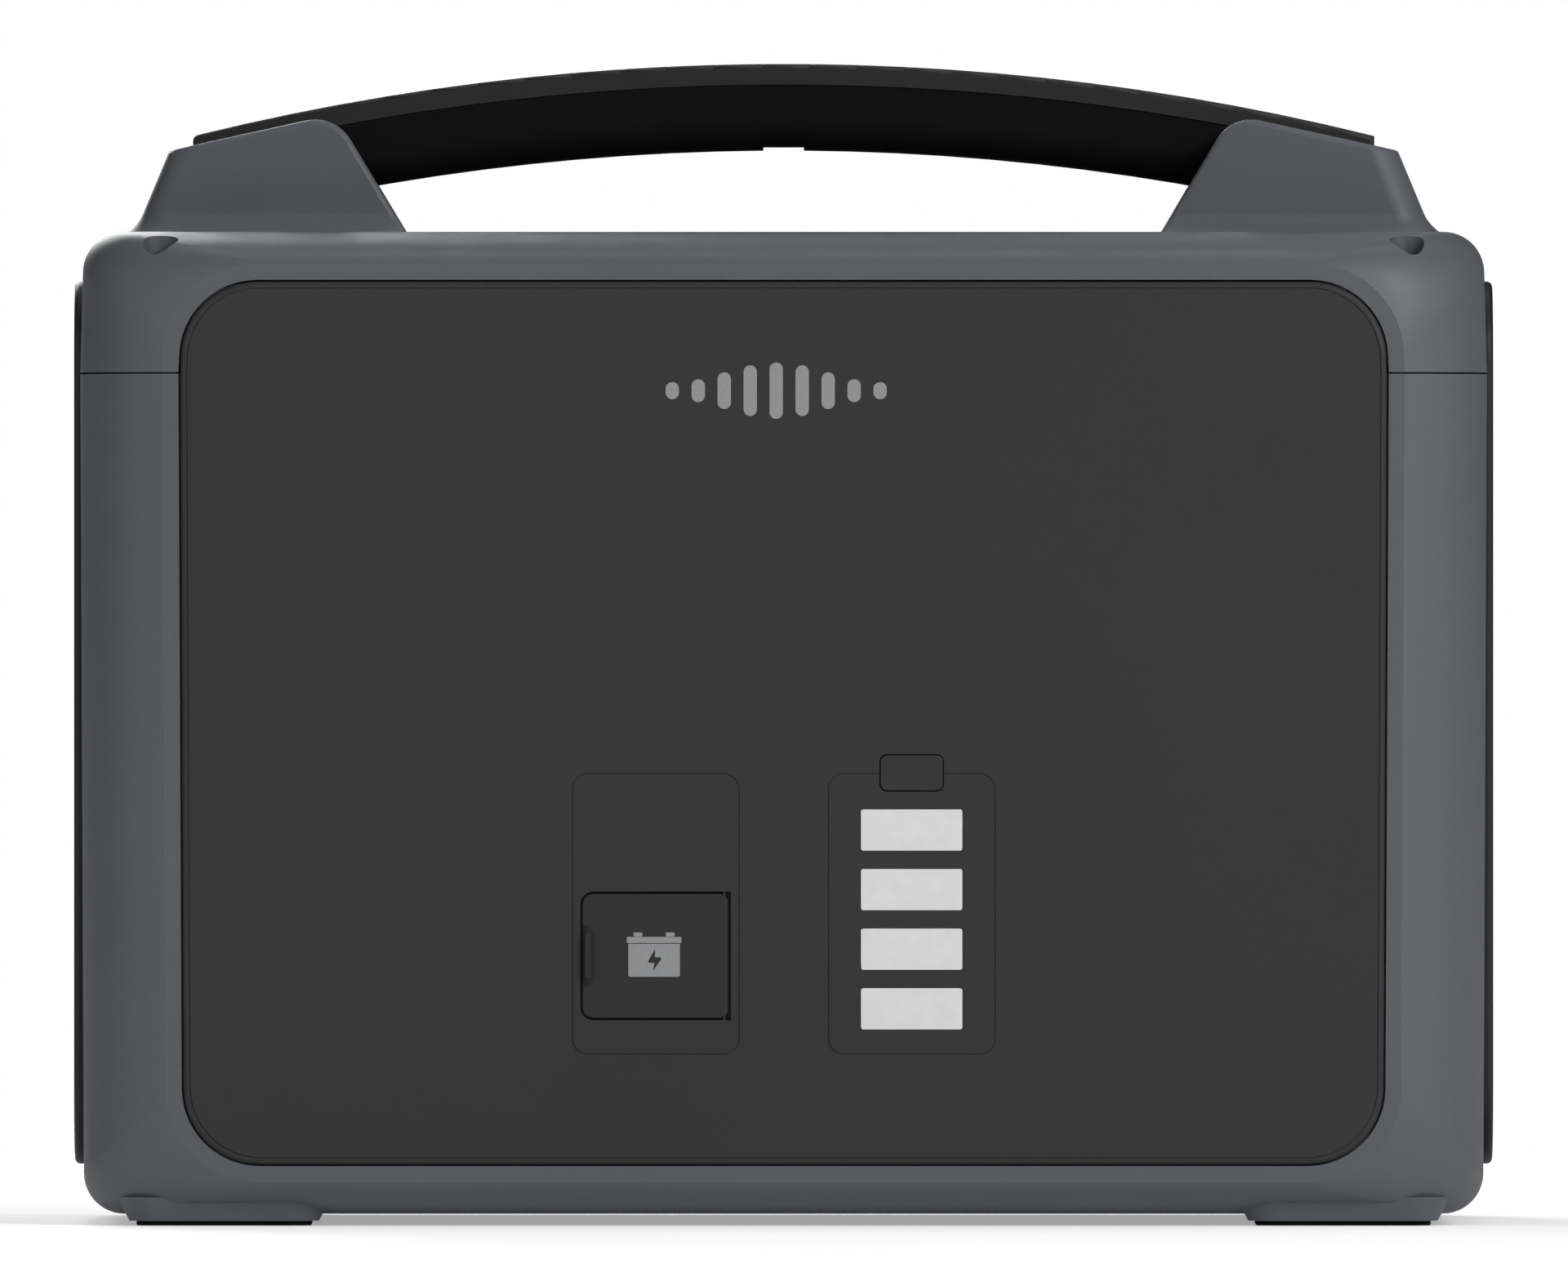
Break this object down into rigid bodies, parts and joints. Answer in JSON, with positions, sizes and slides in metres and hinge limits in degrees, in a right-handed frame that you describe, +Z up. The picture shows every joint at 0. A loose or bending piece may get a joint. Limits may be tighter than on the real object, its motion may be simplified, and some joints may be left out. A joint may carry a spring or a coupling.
{
  "type": "portable power station",
  "caption": "Portable power station: a rounded grey case with an arched carrying handle, a flapped battery port, a stepped charge gauge, and outlets and a display on the rear.",
  "frame": {"origin": "on the ground under the middle of the case", "axes": "+X to the right seen from the front, +Y from the front panel to the rear panel, +Z up"},
  "size_m": [0.3836, 0.256, 0.3147],
  "materials": {
    "shell_grey": "fine moulded texture, grey",
    "panel_black": "fine moulded texture, near black",
    "side_black": "moulded texture, black",
    "cap_black": "satin moulded texture, black",
    "grip_rubber": "soft overmould, matt",
    "foot_rubber": "matt rubber",
    "flap_rubber": "soft-touch, matt",
    "key_black": "smooth satin",
    "light_bar": "milky diffusing plastic",
    "steel": "zinc plated",
    "contact_brass": "plated contact",
    "socket_plastic": "smooth black moulding",
    "window": "polished dark window",
    "module": "moulded frame",
    "board_green": "solder mask",
    "cell_sleeve": "shrink sleeve over a metal can",
    "holder": "moulded holder",
    "strip": "nickel strip",
    "pad": "closed foam",
    "plate": "rolled sheet",
    "heatsink": "extruded",
    "core": "sintered ferrite",
    "winding": "taped winding",
    "capacitor": "sleeved can",
    "lead": "silicone insulation",
    "fan_plastic": "glass-filled moulding"
  },
  "bodies": {
    "case": {"lower_shell": "shell_grey", "upper_shell": "shell_grey", "front_panel": "panel_black", "rear_panel": "panel_black", "side_panel_left": "side_black", "side_panel_right": "side_black", "handle_cap": "cap_black", "handle_grip": "grip_rubber", "foot_front_left": "foot_rubber", "foot_front_right": "foot_rubber", "foot_rear_left": "foot_rubber", "foot_rear_right": "foot_rubber", "level_bar_1": "light_bar", "level_bar_2": "light_bar", "level_bar_3": "light_bar", "level_bar_4": "light_bar", "handle_screws": "steel", "shell_screws": "steel", "panel_screws": "steel", "plate_screws": "steel", "fan_screws": "steel", "flap_hinge_pin": "steel", "battery_port_contacts": "contact_brass", "outlet_earth_clips": "contact_brass", "mains_inlet_blades": "contact_brass", "battery_port": "socket_plastic", "outlet_1": "socket_plastic", "outlet_2": "socket_plastic", "car_socket": "socket_plastic", "usb_module": "socket_plastic", "mains_inlet": "socket_plastic", "usb_tongues": "socket_plastic", "display_window": "window", "display_module": "module", "level_switch": "module", "control_switches": "module", "level_board": "board_green", "control_board": "board_green", "inverter_board": "board_green", "bms_board": "board_green", "cells_front": "cell_sleeve", "cells_rear": "cell_sleeve", "cell_holders": "holder", "cell_strips": "strip", "pack_pads": "pad", "chassis_plate": "plate", "inverter_heatsinks": "heatsink", "transformer_core": "core", "transformer_winding": "winding", "inverter_capacitors": "capacitor", "battery_leads": "lead", "fan_frames": "fan_plastic"},
    "port_flap": {"port_flap": "flap_rubber"},
    "level_button": {"level_button": "key_black"},
    "power_button": {"power_button": "key_black"},
    "ac_button": {"ac_button": "key_black"},
    "dc_button": {"dc_button": "key_black"},
    "fan_rotor_left": {"fan_rotor_left": "fan_plastic"},
    "fan_rotor_right": {"fan_rotor_right": "fan_plastic"}
  },
  "joints": [
    {"name": "port_flap_hinge", "type": "hinge", "parent": "case", "child": "port_flap", "pos_m": [-0.016, -0.1246, 0.0729], "axis": [0, 0, 1], "range_deg": [0, 95]},
    {"name": "level_button_press", "type": "slide", "parent": "case", "child": "level_button", "axis": [0, 1, 0], "range_m": [0, 0.001], "stiffness_N_per_m": 500},
    {"name": "power_button_press", "type": "slide", "parent": "case", "child": "power_button", "axis": [0, -1, 0], "range_m": [0, 0.001], "stiffness_N_per_m": 500},
    {"name": "ac_button_press", "type": "slide", "parent": "case", "child": "ac_button", "axis": [0, -1, 0], "range_m": [0, 0.001], "stiffness_N_per_m": 500},
    {"name": "dc_button_press", "type": "slide", "parent": "case", "child": "dc_button", "axis": [0, -1, 0], "range_m": [0, 0.001], "stiffness_N_per_m": 500},
    {"name": "fan_left_spin", "type": "hinge", "parent": "case", "child": "fan_rotor_left", "pos_m": [-0.175, 0, 0.17], "axis": [1, 0, 0], "continuous": true},
    {"name": "fan_right_spin", "type": "hinge", "parent": "case", "child": "fan_rotor_right", "pos_m": [0.175, 0, 0.17], "axis": [1, 0, 0], "continuous": true}
  ]
}
